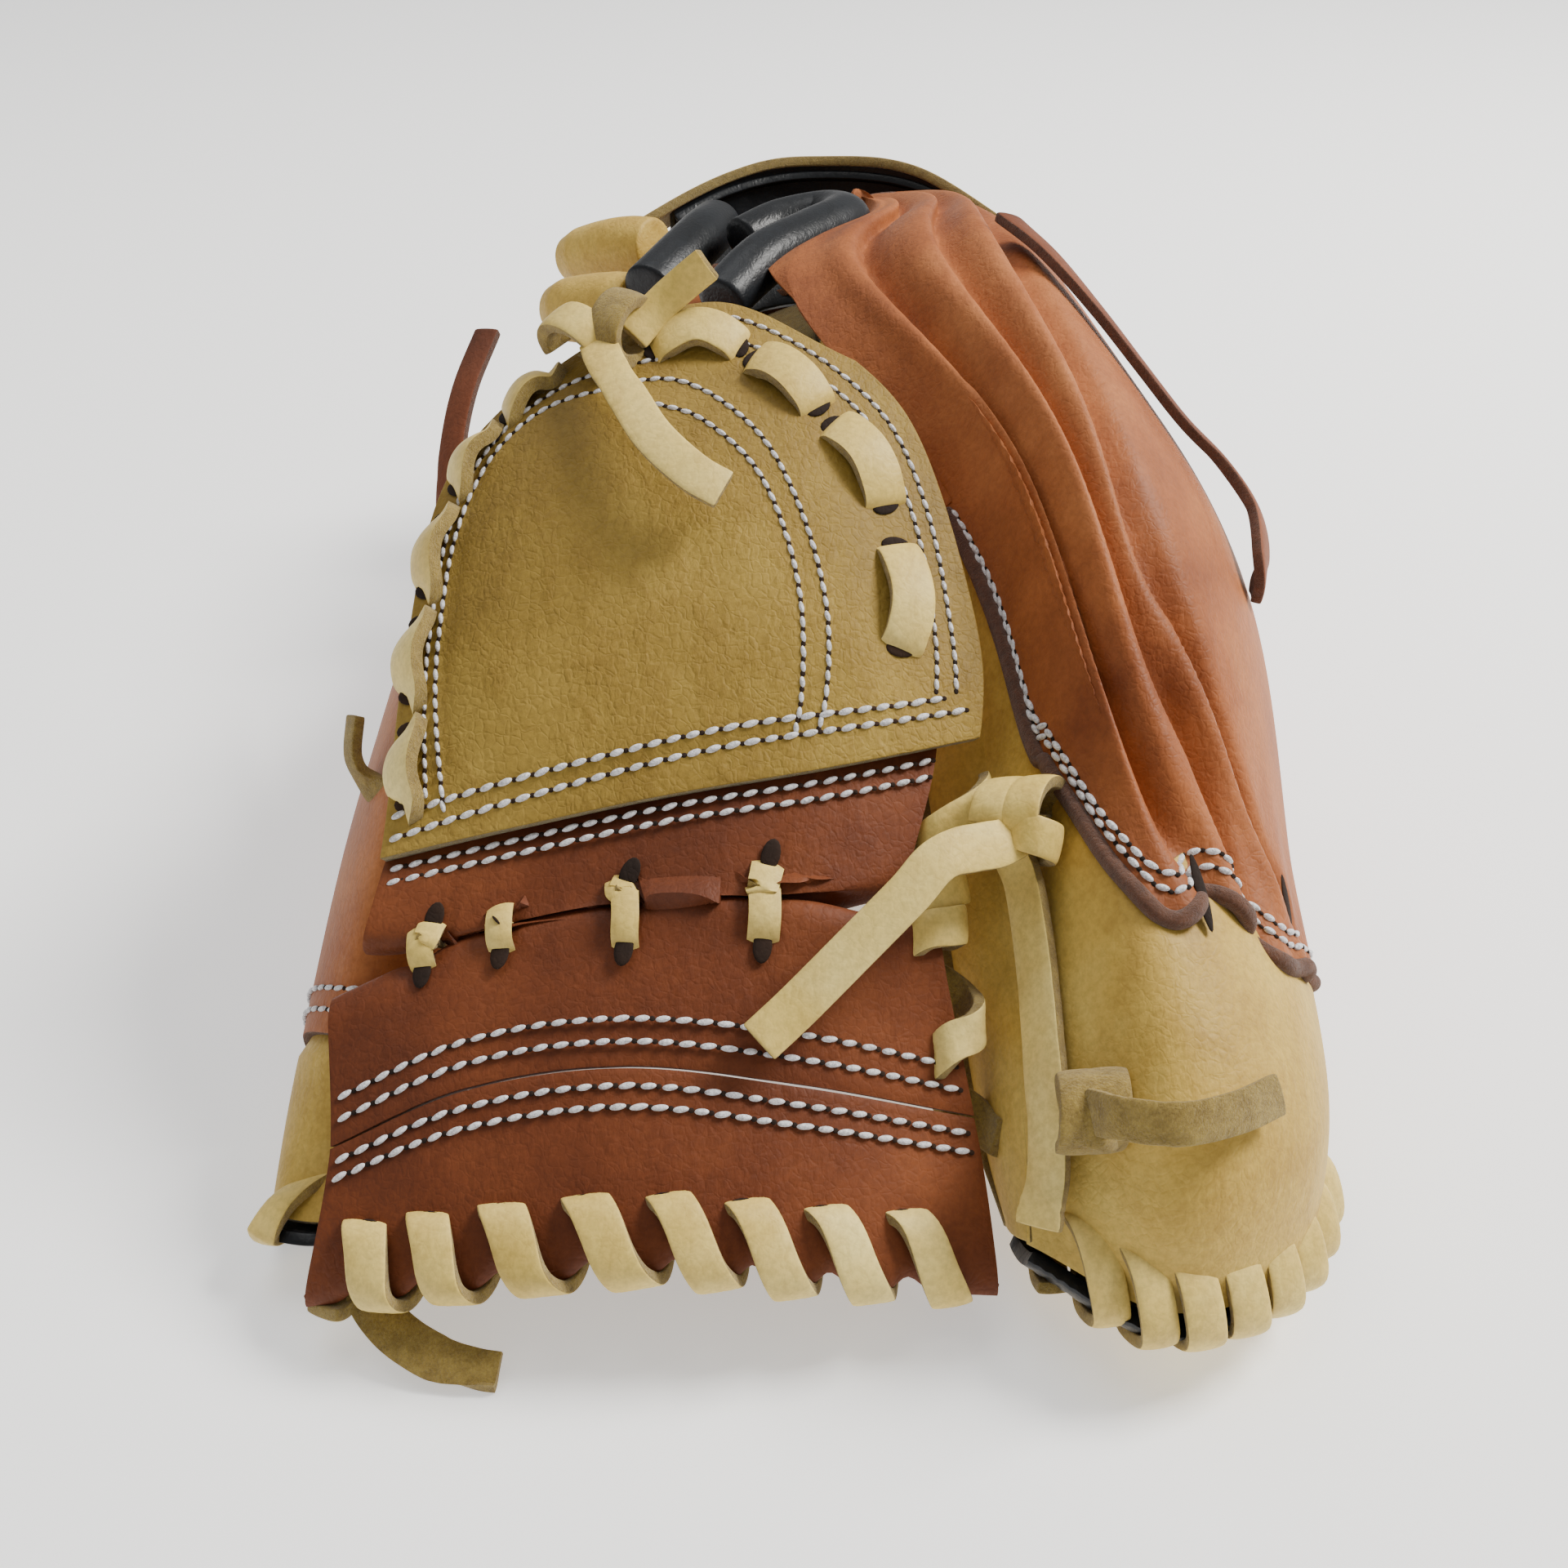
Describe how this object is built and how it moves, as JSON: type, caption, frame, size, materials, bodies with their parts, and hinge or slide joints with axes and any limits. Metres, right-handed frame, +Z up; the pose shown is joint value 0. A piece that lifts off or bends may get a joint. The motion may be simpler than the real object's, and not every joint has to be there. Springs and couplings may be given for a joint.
{
  "type": "baseball glove",
  "caption": "Laced leather baseball glove for the left hand: pleated finger back, half-moon web on two bars, padded palm, wrist strap and a thumb stall that swings shut.",
  "frame": {"origin": "centre of the bounding box at the table it lies on", "axes": "+Z up; +Y from the finger tips to the wrist; +X toward the little finger, the thumb at -X"},
  "size_m": [0.179, 0.296, 0.1232],
  "materials": {
    "tan_leather": "matte, red-brown",
    "blond_leather": "matte, blond",
    "rawhide_lace": "matte, pale with fuzzy edges",
    "black_lining": "smooth, black",
    "felt": "pressed wool felt"
  },
  "bodies": {
    "mitt": {"finger_back": "tan_leather", "fingertip_panel": "blond_leather", "index_side_panel": "blond_leather", "palm_shell": "blond_leather", "finger_lining": "black_lining", "palm_pad": "felt", "finger_stalls": "black_lining", "fingertip_binding": "black_lining", "pinky_edge_binding": "tan_leather", "fingertip_lace": "rawhide_lace", "index_lace": "rawhide_lace", "index_knot": "rawhide_lace", "tip_knot": "rawhide_lace", "pinky_loop_lace": "tan_leather", "wrist_strap": "blond_leather", "strap_lining": "black_lining", "opening_rim": "black_lining", "opening_bar": "black_lining", "strap_roll": "blond_leather", "heel_roll": "blond_leather", "heel_binding": "tan_leather", "web_panel_outer": "blond_leather", "web_panel_inner": "tan_leather", "web_bar_lower": "tan_leather", "web_bar_upper": "tan_leather", "web_tip_strip": "tan_leather", "web_cross_lace": "rawhide_lace", "web_arch_lace": "rawhide_lace", "web_knot": "rawhide_lace", "web_tip_lace": "rawhide_lace", "web_corner_tail": "rawhide_lace", "web_index_lace": "rawhide_lace", "thumb_base_back": "tan_leather", "thumb_base_edge": "tan_leather", "thumb_heel_pad": "felt", "thumb_loop_lace": "tan_leather"},
    "thumb_stall": {"thumb_back": "tan_leather", "thumb_tip_panel": "blond_leather", "thumb_palm": "blond_leather", "thumb_side_wall": "blond_leather", "thumb_lining": "black_lining", "thumb_pad": "felt", "thumb_tip_binding": "black_lining", "thumb_edge_binding": "tan_leather", "thumb_side_tail": "rawhide_lace", "thumb_tip_lace": "rawhide_lace"}
  },
  "joints": [
    {"name": "thumb_close", "type": "hinge", "parent": "mitt", "child": "thumb_stall", "pos_m": [-0.0775, -0.13696, 0.007], "axis": [-0.1109, -0.7845, -0.6102], "range_deg": [0, 18], "stiffness_Nm_per_rad": 1.2}
  ]
}
